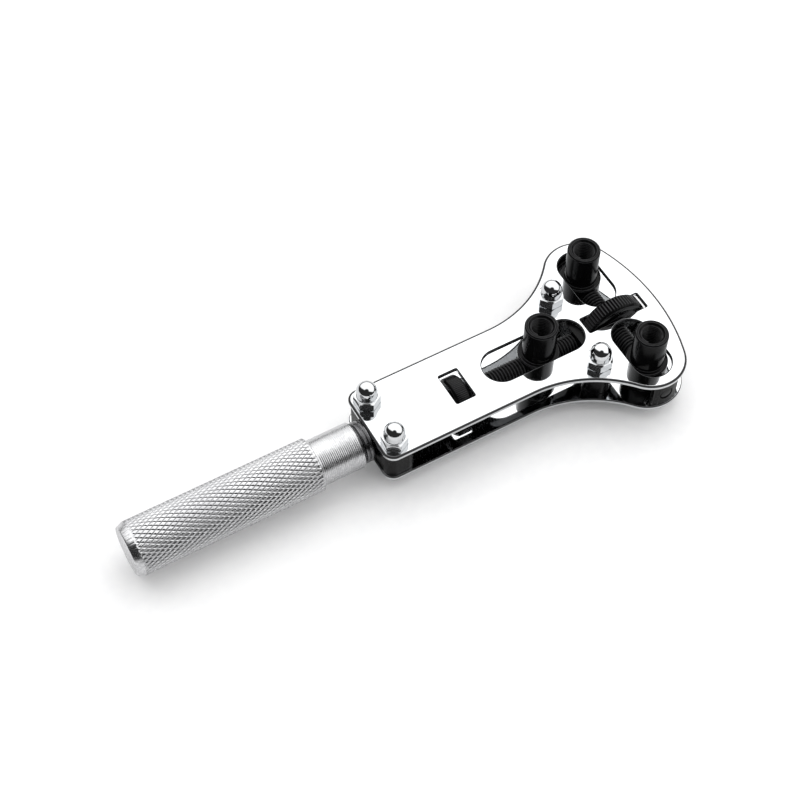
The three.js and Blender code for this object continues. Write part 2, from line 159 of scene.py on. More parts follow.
# A mesh object in metres at the origin. Points that coincide are joined, which closes seams and poles,
# then the faces are turned outward, and edges sharper than `crease` degrees stay crisp.
def makePiece(name, points, faces, wearAndPaintedLight=None, crease=32):
    mesh = bpy.data.meshes.new(name)
    mesh.from_pydata((np.asarray(points) * mm).tolist(), [], [list(map(int, f)) for f in faces])
    # This per-point value marks edges, crests and knurl tops; the finishes paint highlights, dark edge lines
    # and groove shade from it, as well as wear.
    wearAndPaintedLightLayer = mesh.attributes.new("wearAndPaintedLight", "FLOAT", "POINT")
    if wearAndPaintedLight is not None:
        wearAndPaintedLightLayer.data.foreach_set("value", np.asarray(wearAndPaintedLight, np.float32).ravel())
    work = bmesh.new()
    work.from_mesh(mesh)
    bmesh.ops.remove_doubles(work, verts=work.verts, dist=4e-7)
    bmesh.ops.dissolve_degenerate(work, edges=work.edges, dist=1e-7)
    bmesh.ops.recalc_face_normals(work, faces=work.faces)
    work.to_mesh(mesh)
    work.free()
    smoothMesh(mesh, crease)
    piece = bpy.data.objects.new(name, mesh)
    bpy.context.scene.collection.objects.link(piece)
    return piece


def smoothMesh(mesh, crease):
    mesh.polygons.foreach_set("use_smooth", np.ones(len(mesh.polygons), bool))
    mesh.set_sharp_from_angle(angle=math.radians(crease))
    mesh.update()


# Points of stacked blocks turned about an axis: across = radius cos, up = radius sin, and the three
# coordinates are rolled round so that the turning axis comes out as x, y or z.
def turnedPoints(blocks, angles, axis, centre):
    radius, along, wearAndPaintedLight = np.concatenate(blocks, axis=1)
    points = np.stack([radius * np.cos(angles), radius * np.sin(angles), along], -1)
    points = np.roll(points, {"z": 0, "x": 1, "y": 2}[axis], axis=-1) + np.asarray(centre, float)
    return points.reshape(-1, 3), wearAndPaintedLight.ravel(), radius.shape


def turnedPiece(name, blocks, angles, axis, centre, crease=32):
    points, wearAndPaintedLight, (rows, columns) = turnedPoints(blocks, angles, axis, centre)
    return makePiece(name, points, gridFaces(rows, columns), wearAndPaintedLight, crease)


# A closed outline made of arcs, each (x, y, radius, from angle, to angle) in degrees. Straight sides run
# between one arc's end and the next one's start. Moving it inward by `inset` shortens the radius of
# an arc that turns left and lengthens that of one that turns right. Where two arcs touch, their shared
# point is kept once. The outward normals are given beside the points.
def arcOutline(arcs, inset=0.0):
    bare, points, normals = [], [], []
    for x, y, radius, start, end in arcs:
        sweep = math.radians(end - start)
        steps = max(5, int(abs(sweep) * radius / outlineSpacing))
        angles = math.radians(start) + sweep * np.linspace(0, 1, steps + 1)
        side = 1 if end > start else -1
        outward = np.column_stack([np.cos(angles), np.sin(angles)])
        bare.append(np.array([x, y]) + radius * outward)
        points.append(np.array([x, y]) + (radius - side * inset) * outward)
        normals.append(side * outward)
    bare = np.vstack(bare)
    apart = np.linalg.norm(np.roll(bare, -1, axis=0) - bare, axis=1) > 1e-4
    return np.vstack(points)[apart], np.vstack(normals)[apart]


def circleOutline(x, y, radius):
    return [(x, y, radius, 0, 120), (x, y, radius, 120, 240), (x, y, radius, 240, 360)]


# A long round-ended opening, its long way along x or y.
def slotOutline(x, y, halfLength, halfWidth, along):
    reach = halfLength - halfWidth
    if along == "x":
        return [(x + reach, y, halfWidth, -90, 90), (x - reach, y, halfWidth, 90, 270)]
    return [(x, y + reach, halfWidth, 0, 180), (x, y - reach, halfWidth, 180, 360)]


def windowOutline(x, y, halfX, halfY, corner):
    places = [(1, -1, -90), (1, 1, 0), (-1, 1, 90), (-1, -1, 180)]
    return [(x + sx * (halfX - corner), y + sy * (halfY - corner), corner, start, start + 90)
            for sx, sy, start in places]


# A flat plate with openings. Its edge is carried round every outline: a quarter of an oval at each
# face, with inset = width (1 - cos a) and height = edge sin a, and a straight wall between. The oval
# is `rollOver` wide on the outside and as wide as it is high in the openings. The faces are filled
# with triangles, and those with all three corners on one opening lie in it and are left out. Normals
# come from the same formula, (edge cos a, width sin a) made unit length, so a polished face stays
# truly flat right up to its rounded edge. The wear-and-painted-light value is |sin 2a|, strongest half way
# round each quarter; on the plating it places a painted dark line along the rounded edges.
def platePiece(name, outline, openings, low, high, edge, rollOver):
    quarter = np.radians(np.linspace(-90, 0, quarterSteps + 1))
    angles = np.concatenate([quarter, -quarter[::-1]])
    rowCount = len(angles)
    below = np.arange(rowCount) < rowCount / 2
    heights = np.where(below, low + edge, high - edge) + edge * np.sin(angles)
    points, normals, faces, rims, wearAndPaintedLight = [], [], [], [[], []], []
    first = 0
    for number, arcs in enumerate([outline] + openings):
        inward = 1 if number == 0 else -1
        width = rollOver if number == 0 else edge
        insets = width * (1 - np.cos(angles))
        outward = arcOutline(arcs)[1] * inward
        count = len(outward)
        rings = [arcOutline(arcs, inset * inward)[0] for inset in insets]
        points += [np.column_stack([ring, np.full(count, height)]) for ring, height in zip(rings, heights)]
        tilt = np.arctan2(width * np.sin(angles), edge * np.cos(angles))[:, None, None]
        upward = np.sin(tilt) + 0 * outward[None, :, :1]
        wall = np.concatenate([np.cos(tilt) * outward[None], upward], axis=2)
        normals.append(wall.reshape(-1, 3))
        wearAndPaintedLight.append(np.repeat(np.abs(np.sin(2 * angles)), count))
        row, column = np.meshgrid(np.arange(rowCount - 1), np.arange(count), indexing="ij")
        a = first + row * count + column
        b = first + row * count + (column + 1) % count
        quads = np.stack([a, b, b + count, a + count], -1).reshape(-1, 4)
        faces += (quads if inward == 1 else quads[:, ::-1]).tolist()
        rims[0].append(np.arange(first, first + count))
        rims[1].append(np.arange(first + (rowCount - 1) * count, first + rowCount * count))
        first += rowCount * count
    points = np.vstack(points)
    for upper, rim in enumerate(rims):
        order = np.concatenate(rim)
        counts = [len(loop) for loop in rim]
        loop = np.repeat(np.arange(len(rim)), counts)
        starts = np.repeat(np.cumsum([0] + counts[:-1]), counts)
        here = np.arange(len(order))
        sides = np.column_stack([here, starts + (here - starts + 1) % np.repeat(counts, counts)])
        flatPoints = [Vector(point) for point in points[order, :2].tolist()]
        filled = delaunay_2d_cdt(flatPoints, sides.tolist(), [], insideOnly, fillLimit)
        sources = np.array([source[0] for source in filled[3]])[np.array(filled[2])]
        onLoop = loop[sources]
        empty = (onLoop[:, 0] > 0) & (onLoop == onLoop[:, :1]).all(axis=1)
        corners = order[sources[~empty]]
        across = points[corners[:, 1], :2] - points[corners[:, 0], :2]
        along = points[corners[:, 2], :2] - points[corners[:, 0], :2]
        area = across[:, 0] * along[:, 1] - across[:, 1] * along[:, 0]
        turned = (area > 0) != bool(upper)
        corners[turned] = corners[turned][:, ::-1]
        faces += corners.tolist()
    mesh = bpy.data.meshes.new(name)
    mesh.from_pydata((points * mm).tolist(), [], faces)
    wearAndPaintedLightLayer = mesh.attributes.new("wearAndPaintedLight", "FLOAT", "POINT")
    wearAndPaintedLightLayer.data.foreach_set("value", np.concatenate(wearAndPaintedLight).astype(np.float32))
    mesh.polygons.foreach_set("use_smooth", np.ones(len(mesh.polygons), bool))
    mesh.normals_split_custom_set_from_vertices(np.vstack(normals).tolist())
    mesh.update()
    piece = bpy.data.objects.new(name, mesh)
    bpy.context.scene.collection.objects.link(piece)
    return piece


# A hole drilled through a piece: the round bar of that radius between two distances is taken away.
def drill(piece, axis, centre, radius, start, end, crease=32, sides=48):
    angles = turnAngles(sides)
    bar = plainBlock([[0, start], [radius, start], [radius, end], [0, end]], angles, 0.01, 1)
    cutter = turnedPiece("drillBar", [bar], angles, axis, centre)
    cut = piece.modifiers.new("hole", "BOOLEAN")
    cut.operation = "DIFFERENCE"
    cut.solver = "EXACT"
    cut.object = cutter
    graph = bpy.context.evaluated_depsgraph_get()
    mesh = bpy.data.meshes.new_from_object(piece.evaluated_get(graph))
    piece.modifiers.clear()
    piece.data = mesh
    work = bmesh.new()
    work.from_mesh(mesh)
    bmesh.ops.delete(work, geom=[side for side in work.edges if not side.link_faces], context="EDGES")
    work.to_mesh(mesh)
    work.free()
    smoothMesh(mesh, crease)
    bpy.data.objects.remove(cutter)


# Hands a piece to its body, the plain part that it stands for, and one of the named finishes.
def place(piece, body, node, finish):
    slot, material = finishes[finish]
    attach(piece, body)
    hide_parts(node)
    piece.data.materials.clear()
    piece.data.materials.append(material)


# Node trees

# One node, its options set and its inputs either linked or given a value.
def addNode(tree, kind, inputs=None, **options):
    node = tree.nodes.new(kind)
    for option, value in options.items():
        setattr(node, option, value)
    for socket, value in (inputs or {}).items():
        if isinstance(value, bpy.types.NodeSocket):
            tree.links.new(value, node.inputs[socket])
        else:
            node.inputs[socket].default_value = value
    return node


def calculate(tree, operation, first, second=0.0, clamp=False):
    node = addNode(tree, "ShaderNodeMath", {0: first, 1: second}, operation=operation, use_clamp=clamp)
    return node.outputs[0]


# A value moved from one range to another, and held inside it.
def rescale(tree, value, fromLow, fromHigh, toLow, toHigh):
    inputs = {"Value": value, "From Min": fromLow, "From Max": fromHigh, "To Min": toLow, "To Max": toHigh}
    return addNode(tree, "ShaderNodeMapRange", inputs, clamp=True).outputs[0]


def blendColours(tree, factor, first, second):
    return addNode(tree, "ShaderNodeMix", {0: factor, 6: first, 7: second}, data_type="RGBA").outputs[2]


def newGroup(name, inputs, outputs):
    group = bpy.data.node_groups.new(name, "ShaderNodeTree")
    for socket, kind, value in inputs:
        made = group.interface.new_socket(name=socket, in_out="INPUT", socket_type=kind)
        if value is not None:
            made.default_value = value
    for socket in outputs:
        group.interface.new_socket(name=socket, in_out="OUTPUT", socket_type="NodeSocketFloat")
    return group, group.nodes.new("NodeGroupInput").outputs, group.nodes.new("NodeGroupOutput").inputs


# Hairlines left by polishing: noise stretched 60 times along one way, twice, the second turned by
# a third of a right angle. Height is their sum, and mask is where they are deepest.
def makeHairlines():
    group, given, result = newGroup("hairlines", [
        ("Place", "NodeSocketVector", None), ("Lines Per Metre", "NodeSocketFloat", 4000.0)],
        ["Height", "Mask"])
    layers = []
    for turn in (0.2, 0.75):
        turned = addNode(group, "ShaderNodeMapping", {
            "Vector": given["Place"], "Rotation": (0, 0, turn), "Scale": (1, 0.016, 1)})
        noise = addNode(group, "ShaderNodeTexNoise", {
            "Vector": turned.outputs[0], "Scale": given["Lines Per Metre"], "Detail": 2.0, "Roughness": 0.6})
        layers.append(noise.outputs["Fac"])
    height = calculate(group, "ADD", layers[0], layers[1])
    group.links.new(height, result["Height"])
    group.links.new(rescale(group, height, 1.12, 1.4, 0, 1), result["Mask"])
    return group


# Soft handling marks: low noise broken up by a finer one. Mask rises where both are high.
def makeSmudges():
    group, given, result = newGroup("smudges", [
        ("Place", "NodeSocketVector", None), ("Patches Per Metre", "NodeSocketFloat", 60.0)], ["Mask"])
    broad = addNode(group, "ShaderNodeTexNoise", {
        "Vector": given["Place"], "Scale": given["Patches Per Metre"], "Detail": 3.0, "Roughness": 0.55})
    fine = addNode(group, "ShaderNodeTexNoise", {
        "Vector": given["Place"], "Scale": calculate(group, "MULTIPLY", given["Patches Per Metre"], 14.0),
        "Detail": 2.0})
    both = calculate(group, "MULTIPLY", broad.outputs["Fac"], fine.outputs["Fac"])
    group.links.new(rescale(group, both, 0.18, 0.36, 0, 1), result["Mask"])
    return group


# Brighter edges: the piece's own wear-and-painted-light value, eaten into by noise. On the blackened parts
# this is a painted highlight along the rims and crests; on the aluminium it marks rubbed tops. Mask is 1
# where the edge colour shows.
def makeEdgeWearAndHighlight():
    group, given, result = newGroup("edgeWearAndHighlight", [
        ("Place", "NodeSocketVector", None), ("Wear And Painted Light", "NodeSocketFloat", 0.0),
        ("Amount", "NodeSocketFloat", 0.5), ("Grains Per Metre", "NodeSocketFloat", 900.0)], ["Mask"])
    noise = addNode(group, "ShaderNodeTexNoise", {
        "Vector": given["Place"], "Scale": given["Grains Per Metre"], "Detail": 4.0, "Roughness": 0.65})
    reach = calculate(group, "MULTIPLY", given["Wear And Painted Light"], given["Amount"])
    over = calculate(group, "SUBTRACT", calculate(group, "ADD", reach, noise.outputs["Fac"]), 0.5)
    masked = calculate(group, "MULTIPLY", rescale(group, over, 0.1, 0.5, 0, 1), given["Wear And Painted Light"])
    group.links.new(masked, result["Mask"])
    return group


# Fine rings left by the lathe: a wave of distance along the turning axis, its strength varied by noise.
def makeTurningMarks():
    group, given, result = newGroup("turningMarks", [
        ("Place", "NodeSocketVector", None), ("Distance", "NodeSocketFloat", 0.0),
        ("Rings Per Metre", "NodeSocketFloat", 6000.0)], ["Height"])
    noise = addNode(group, "ShaderNodeTexNoise", {"Vector": given["Place"], "Scale": 300.0, "Detail": 2.0})
    drift = calculate(group, "MULTIPLY", noise.outputs["Fac"], 2.0)
    turns = calculate(group, "MULTIPLY", given["Distance"], given["Rings Per Metre"])
    wave = calculate(group, "SINE", calculate(group, "ADD", turns, drift))
    group.links.new(calculate(group, "MULTIPLY", wave, noise.outputs["Fac"]), result["Height"])
    return group


effects = {
    "hairlines": makeHairlines(),
    "smudges": makeSmudges(),
    "edgeWearAndHighlight": makeEdgeWearAndHighlight(),
    "turningMarks": makeTurningMarks(),
}


def useEffect(tree, effect, inputs):
    return addNode(tree, "ShaderNodeGroup", inputs, node_tree=effects[effect]).outputs


# A material with only a Principled shader and an output in it, and the object's own coordinates.
def startMaterial(name, settings):
    material = bpy.data.materials.new(name)
    material.use_nodes = True
    tree = material.node_tree
    shader = tree.nodes["Principled BSDF"]
    for socket in ("Metallic", "Specular IOR Level"):
        if socket in settings:
            shader.inputs[socket].default_value = settings[socket]
    where = addNode(tree, "ShaderNodeTexCoord").outputs["Object"]
    # The per-point edge value: it carries wear and the painted light and shade of each finish.
    wearAndPaintedLight = addNode(tree, "ShaderNodeAttribute", attribute_name="wearAndPaintedLight").outputs["Fac"]
    return material, tree, shader, where, wearAndPaintedLight


def bumpFrom(tree, shader, height, distance):
    bump = addNode(tree, "ShaderNodeBump", {"Height": height, "Distance": distance, "Strength": 1.0})
    tree.links.new(bump.outputs[0], shader.inputs["Normal"])


# Bright plating over polished steel: nearly a mirror, with faint hairlines and handling marks, and
# a painted dark line where an edge rolls over, standing in for the dark room reflected in the rounding.
# Roughness = base + handling share + hairline share.
def mirrorPlating(name, settings):
    material, tree, shader, where, wearAndPaintedLight = startMaterial(name, settings)
    lines = useEffect(tree, "hairlines", {"Place": where, "Lines Per Metre": settings["linesPerMetre"]})
    marks = useEffect(tree, "smudges", {"Place": where, "Patches Per Metre": settings["patchesPerMetre"]})
    # Painted dark reflection: the edge value turns the rolled edges into dark non-metal.
    edge = calculate(tree, "MULTIPLY", wearAndPaintedLight, settings["edgeAmount"], clamp=True)
    tint = blendColours(tree, marks["Mask"], settings["colour"], settings["handledColour"])
    tree.links.new(blendColours(tree, edge, tint, settings["edgeColour"]), shader.inputs["Base Color"])
    tree.links.new(calculate(tree, "SUBTRACT", 1.0, edge), shader.inputs["Metallic"])
    marked = calculate(tree, "MULTIPLY", marks["Mask"], settings["markRoughness"])
    lined = calculate(tree, "MULTIPLY", lines["Mask"], settings["lineRoughness"])
    rough = calculate(tree, "ADD", marked, lined)
    tree.links.new(calculate(tree, "ADD", rough, settings["roughness"]), shader.inputs["Roughness"])
    bumpFrom(tree, shader, lines["Height"], settings["lineDepth"])
    return material


# Blackened steel: dark, half glossy, turned rings under the black, edges painted a little brighter as a
# highlight along the rims, broken up by noise. Roughness = base + handling share.
def blackenedSteel(name, settings):
    material, tree, shader, where, wearAndPaintedLight = startMaterial(name, settings)
    parts = addNode(tree, "ShaderNodeSeparateXYZ", {0: where}).outputs
    rings = useEffect(tree, "turningMarks", {
        "Place": where, "Distance": parts[settings["axis"]], "Rings Per Metre": settings["ringsPerMetre"]})
    marks = useEffect(tree, "smudges", {"Place": where, "Patches Per Metre": settings["patchesPerMetre"]})
    edge = useEffect(tree, "edgeWearAndHighlight", {"Place": where, "Wear And Painted Light": wearAndPaintedLight, "Amount": settings["edgeAmount"]})
    black = blendColours(tree, marks["Mask"], settings["colour"], settings["handledColour"])
    # Painted highlight along the edges.
    highlightedEdges = blendColours(tree, edge["Mask"], black, settings["edgeColour"])
    tree.links.new(highlightedEdges, shader.inputs["Base Color"])
    rough = calculate(tree, "MULTIPLY", marks["Mask"], settings["markRoughness"])
    tree.links.new(calculate(tree, "ADD", rough, settings["roughness"]), shader.inputs["Roughness"])
    bumpFrom(tree, shader, rings["Height"], settings["ringDepth"])
    return material


# Bare aluminium: bright, slightly grained, with painted shade in the bottoms of the knurl and the neck's
# ring grooves. The wear-and-painted-light value is 1 on the tops and low in the grooves.
# Roughness = base + handling share - polish on rubbed edges.
def bareAluminium(name, settings):
    material, tree, shader, where, wearAndPaintedLight = startMaterial(name, settings)
    parts = addNode(tree, "ShaderNodeSeparateXYZ", {0: where}).outputs
    rings = useEffect(tree, "turningMarks", {
        "Place": where, "Distance": parts["X"], "Rings Per Metre": settings["ringsPerMetre"]})
    marks = useEffect(tree, "smudges", {"Place": where, "Patches Per Metre": settings["patchesPerMetre"]})
    edge = useEffect(tree, "edgeWearAndHighlight", {
        "Place": where, "Wear And Painted Light": wearAndPaintedLight, "Amount": settings["edgeAmount"],
        "Grains Per Metre": settings["grainsPerMetre"]})
    # Painted shade: darker where the value is low, in the grooves.
    metal = blendColours(tree, wearAndPaintedLight, settings["paintedGrooveShade"], settings["colour"])
    metal = blendColours(tree, edge["Mask"], metal, settings["edgeColour"])
    metal = blendColours(tree, marks["Mask"], metal, settings["handledColour"])
    tree.links.new(metal, shader.inputs["Base Color"])
    marked = calculate(tree, "MULTIPLY", marks["Mask"], settings["markRoughness"])
    polished = calculate(tree, "MULTIPLY", edge["Mask"], settings["edgePolish"])
    rough = calculate(tree, "SUBTRACT", marked, polished)
    tree.links.new(calculate(tree, "ADD", rough, settings["roughness"]), shader.inputs["Roughness"])
    bumpFrom(tree, shader, rings["Height"], settings["ringDepth"])
    return material


plateFinish = {
    "Metallic": 1.0,
    "colour": (0.60, 0.61, 0.62, 1),
    "handledColour": (0.56, 0.57, 0.58, 1),
    "Specular IOR Level": 0.15,
    # edgeColour: painted dark reflection along the rolled edges, also on the nuts and plain screws
    "edgeColour": (0.02, 0.02, 0.021, 1),
    "edgeAmount": 1.6,
    "roughness": 0.03,
    "markRoughness": 0.03,
    "lineRoughness": 0.03,
    "linesPerMetre": 3500.0,
    "patchesPerMetre": 45.0,
    "lineDepth": 1.2e-7,
}
nutFinish = dict(plateFinish, edgeAmount=0.07, roughness=0.045, linesPerMetre=6000.0, patchesPerMetre=200.0)
plainScrewFinish = dict(plateFinish, edgeAmount=0.15,
                        colour=(0.45, 0.45, 0.46, 1), handledColour=(0.36, 0.36, 0.37, 1), roughness=0.22,
                        linesPerMetre=8000.0, patchesPerMetre=220.0, lineDepth=4e-7)
postFinish = {
    "Metallic": 0.0,
    "Specular IOR Level": 0.09,
    "colour": (0.0018, 0.0018, 0.0019, 1),
    "handledColour": (0.003, 0.003, 0.0032, 1),
    # edgeColour: painted highlight along the rims and thread crests of the blackened parts
    "edgeColour": (0.04, 0.04, 0.042, 1),
    "roughness": 0.17,
    "markRoughness": 0.05,
    "edgeAmount": 0.5,
    "patchesPerMetre": 160.0,
    "ringsPerMetre": 14000.0,
    "ringDepth": 4e-6,
    "axis": "Z",
}
# The collar's lighter edgeColour is a painted highlight on its rims.
collarFinish = dict(postFinish, Metallic=1.0, colour=(0.10, 0.10, 0.103, 1), axis="X", roughness=0.24,
                    handledColour=(0.07, 0.07, 0.072, 1), edgeColour=(0.3, 0.3, 0.31, 1))
blockFinish = dict(postFinish, roughness=0.26)
longScrewFinish = dict(postFinish, axis="X", edgeAmount=0.7, edgeColour=(0.03, 0.03, 0.031, 1))
crossScrewFinish = dict(longScrewFinish, axis="Y")
rearWheelFinish = dict(postFinish, axis="X", edgeAmount=0.6)
frontWheelFinish = dict(postFinish, axis="Y", edgeAmount=0.8)
gripFinish = {
    "Metallic": 1.0,
    "colour": (0.53, 0.535, 0.54, 1),
    # painted shade in the knurl and ring grooves
    "paintedGrooveShade": (0.22, 0.22, 0.225, 1),
    "edgeColour": (0.68, 0.68, 0.69, 1),
    "handledColour": (0.45, 0.45, 0.46, 1),
    "roughness": 0.26,
    "markRoughness": 0.12,
    "edgePolish": 0.08,
    "edgeAmount": 0.35,
    "grainsPerMetre": 2500.0,
    "patchesPerMetre": 90.0,
    "ringsPerMetre": 30000.0,
    "ringDepth": 3e-6,
}
# Each finish: its material slot, and its material.
finishes = {
    "plate": ("mirror_steel", mirrorPlating("platePlating", plateFinish)),
    "nut": ("bright_nut", mirrorPlating("nutPlating", nutFinish)),
    "plainScrew": ("plain_steel", mirrorPlating("plainScrewSteel", plainScrewFinish)),
    "post": ("black_steel", blackenedSteel("postBlack", postFinish)),
    "block": ("black_steel", blackenedSteel("blockBlack", blockFinish)),
    "collar": ("black_steel", blackenedSteel("collarSteel", collarFinish)),
    "longScrew": ("black_steel", blackenedSteel("longScrewBlack", longScrewFinish)),
    "crossScrew": ("black_steel", blackenedSteel("crossScrewBlack", crossScrewFinish)),
    "rearWheel": ("black_steel", blackenedSteel("rearWheelBlack", rearWheelFinish)),
    "frontWheel": ("black_steel", blackenedSteel("frontWheelBlack", frontWheelFinish)),
    "grip": ("knurled_aluminium", bareAluminium("gripAluminium", gripFinish)),
}
print("finishes made:", len(finishes))


# Places taken from the frame

longLow, longHigh = boxOf("long_screw")
crossLow, crossHigh = boxOf("cross_screw")
axisHeight = middleOf("long_screw")[2]
crossX = middleOf("cross_screw")[0]
plateLow, plateHigh = boxOf("top_plate")
headRear, headFront = plateLow[0], plateHigh[0]
rearWheelX = middleOf("rear_wheel")[0]
nutEnds = ("rear_left", "rear_right", "front_left", "front_right")
nutPlaces = {end: middleOf("domed_nut_" + end)[:2] for end in nutEnds}


# Plates

plateSettings = {
    "edge": 0.37,
    "rollOver": 0.8,
    "bottomRollOver": 0.3,
    "rearHalfWidth": 13.0,
    "rearCorner": 3.5,
    "frontCorner": 11.0,
    "waist": 36.0,
    "slotHalfWidth": 5.75,
    "footSlotHalfWidth": 3.0,
    "rearWindow": (3.0, 5.32),
    "frontWindow": (10.0, 2.8),
    "windowCorner": 0.35,
    "centreSlot": (26.95, 60.15),
    "frontSlot": (3.6, 25.6),
    "screwHole": 2.15,
    "pinHole": 0.7,
}


# Straight sides, hollow waist arcs, round front corners and one shallow front arc. The waist circle
# touches the rear side line and the corner circle, and the front circle holds both corner circles.
def plateArcs(s):
    corner = s["frontCorner"]
    cornerY = plateHigh[1] - corner
    waistY = s["rearHalfWidth"] + s["waist"]
    waistX = crossX - math.sqrt((s["waist"] + corner) ** 2 - (waistY - cornerY) ** 2)
    waist = math.degrees(math.atan2(waistY - cornerY, crossX - waistX))
    reach = headFront - crossX
    front = (reach ** 2 + cornerY ** 2 - corner ** 2) / (2 * (reach - corner))
    frontX = headFront - front
    sweep = math.degrees(math.atan2(cornerY, crossX - frontX))
    rear = s["rearCorner"]
    rearX, rearY = headRear + rear, s["rearHalfWidth"] - rear
    return [
        (rearX, -rearY, rear, 180, 270),
        (waistX, -waistY, s["waist"], 90, waist),
        (crossX, -cornerY, corner, waist - 180, -sweep),
        (frontX, 0, front, -sweep, sweep),
        (crossX, cornerY, corner, sweep, 180 - waist),
        (waistX, waistY, s["waist"], -waist, -90),
        (rearX, rearY, rear, 90, 180),
    ]


def plateOpenings(s, slotHalf):
    ends = s["slotHalfWidth"] - slotHalf
    rear, front = s["centreSlot"]
    inner, outer = s["frontSlot"]
    corner = s["windowCorner"]
    openings = [
        windowOutline(rearWheelX, 0, *s["rearWindow"], corner),
        windowOutline(crossX, 0, *s["frontWindow"], corner),
        slotOutline((rear + front) / 2, 0, (front - rear) / 2 - ends, slotHalf, "x"),
    ]
    middle, half = (inner + outer) / 2, (outer - inner) / 2 - ends
    openings += [slotOutline(crossX, side * middle, half, slotHalf, "y") for side in (1, -1)]
    openings += [circleOutline(x, y, s["screwHole"]) for x, y in nutPlaces.values()]
    return openings


def makePlates(s):
    low, high = boxOf("top_plate")
    top = platePiece("topPlate", plateArcs(s), plateOpenings(s, s["slotHalfWidth"]), low[2], high[2],
                     s["edge"], s["rollOver"])
    place(top, "frame", "top_plate", "plate")
    openings = plateOpenings(s, s["footSlotHalfWidth"])
    for side in ("left", "right"):
        for number in ("1", "2"):
            x, y = middleOf(f"bearing_pin_{side}_{number}")[:2]
            openings.append(circleOutline(x, y, s["pinHole"]))
    low, high = boxOf("bottom_plate")
    bottom = platePiece("bottomPlate", plateArcs(s), openings, low[2], high[2],
                        s["edge"], s["bottomRollOver"])
    place(bottom, "frame", "bottom_plate", "plate")


makePlates(plateSettings)
print("plates made")


# Handle

gripSettings = {
    "starts": 36,           # knurl grooves each way round
    "stepsPerDiamond": 6,
    "diamondLength": 2.55,  # along the handle
    "knurlDepth": 0.24,
    "grooveHalfWidth": 0.31,  # as a share of half a diamond
    "crown": 0.14,            # how far the tops of the diamonds rise to their middles
    "chamfer": 2.2,
    "buttRadius": 7.1,
    "neckRadius": 6.92,
    "neckChamfer": 0.9,
    "shoulder": 0.4,
    "ringPitch": 0.55,
    "ringDepth": 0.11,
    "bore": 3.2,
    "boreDepth": 17.1,
    "neckLength": 13.8,
}


# The knurl: with p and q the grid's row and column, the two sets of grooves lie where p + q and p - q
# are whole diamonds. Height = the smaller of the two distances to a groove, over the groove's half
# width and at most 1, so that the diamonds have broad tops; radius = grip radius - depth (1 - height).
def knurlBlock(s, radius, start, end, angles):
    steps = s["stepsPerDiamond"]
    rowPitch = s["diamondLength"] / steps
    rows = int((end - start) / rowPitch)
    along = start + (end - start) * np.linspace(0, 1, rows + 1)
    p, q = np.meshgrid(np.arange(rows + 1), np.arange(len(angles)), indexing="ij")
    toFirst = np.abs((p + q) / steps - np.round((p + q) / steps)) * 2
    toSecond = np.abs((p - q) / steps - np.round((p - q) / steps)) * 2
    height = np.minimum(toFirst, toSecond) / s["grooveHalfWidth"]
    height = np.minimum(height, 1 - s["crown"] + s["crown"] * np.minimum(toFirst, toSecond))
    run = np.clip(np.minimum(along - start, end - along) / 0.35, 0, 1)[:, None]
    cut = s["knurlDepth"] * (1 - height) * run
    # The third row, low in the grooves, paints shade into them.
    return np.array([radius - cut, along[:, None] + 0 * cut, 1 - 0.9 * cut / s["knurlDepth"]])


def makeGrip(s):
    low, high = boxOf("handle_grip")
    radius = (high[2] - low[2]) / 2
    start, end = low[0], high[0]
    neckStart = end - s["neckLength"]
    columns = s["starts"] * s["stepsPerDiamond"]
    angles = turnAngles(columns)
    knurlStart, knurlEnd = start + s["chamfer"], neckStart - s["shoulder"]
    butt = plainBlock([[0, start], [s["buttRadius"], start], [radius, knurlStart]], angles, 0.35, 5)
    knurl = knurlBlock(s, radius, knurlStart, knurlEnd, angles)
    ringEnd = end - s["neckChamfer"]
    stations = np.arange(neckStart + 0.3, ringEnd - 0.1, s["ringPitch"] / 4)
    wave = 0.5 - 0.5 * np.cos((stations - stations[0]) / s["ringPitch"] * fullTurn)
    # The third row paints shade into the ring grooves.
    rings = np.array([s["neckRadius"] - s["ringDepth"] * wave, stations, 1 - 0.5 * wave])
    rings = np.repeat(rings[:, :, None], len(angles), axis=2)
    shoulder = plainBlock([
        [radius, knurlEnd], [radius - s["shoulder"], neckStart], [s["neckRadius"], neckStart]],
        angles, 0.1, 2)
    mouth = plainBlock([
        [s["neckRadius"], ringEnd], [s["neckRadius"] - s["neckChamfer"], end], [s["bore"], end],
        [s["bore"], end - s["boreDepth"]], [0, end - s["boreDepth"] - s["bore"] / 2]], angles, 0.12, 3)
    for block in (butt, shoulder, mouth):
        block[2] = np.maximum(block[2], 0.85)
    points, wearAndPaintedLight, shape = turnedPoints([butt, knurl, shoulder, rings, mouth], angles, "x", (0, 0, axisHeight))
    before, during = butt.shape[1], knurl.shape[1]
    faces = gridFaces(before + 1, shape[1]).tolist()
    faces += diagonalFaces(during, shape[1], before, s["stepsPerDiamond"]).tolist()
    faces += gridFaces(shape[0] - before - during + 1, shape[1], before + during - 1).tolist()
    grip = makePiece("knurledGrip", points, faces, wearAndPaintedLight, 50)
    place(grip, "frame", "handle_grip", "grip")


makeGrip(gripSettings)


studSettings = {"pitch": 1.0, "depth": 0.55, "lead": 0.6, "sides": 40}
collarSettings = {"bore": 3.2, "edge": 0.35, "grooveDepth": 0.25, "grooveWidth": 0.5, "sides": 72}


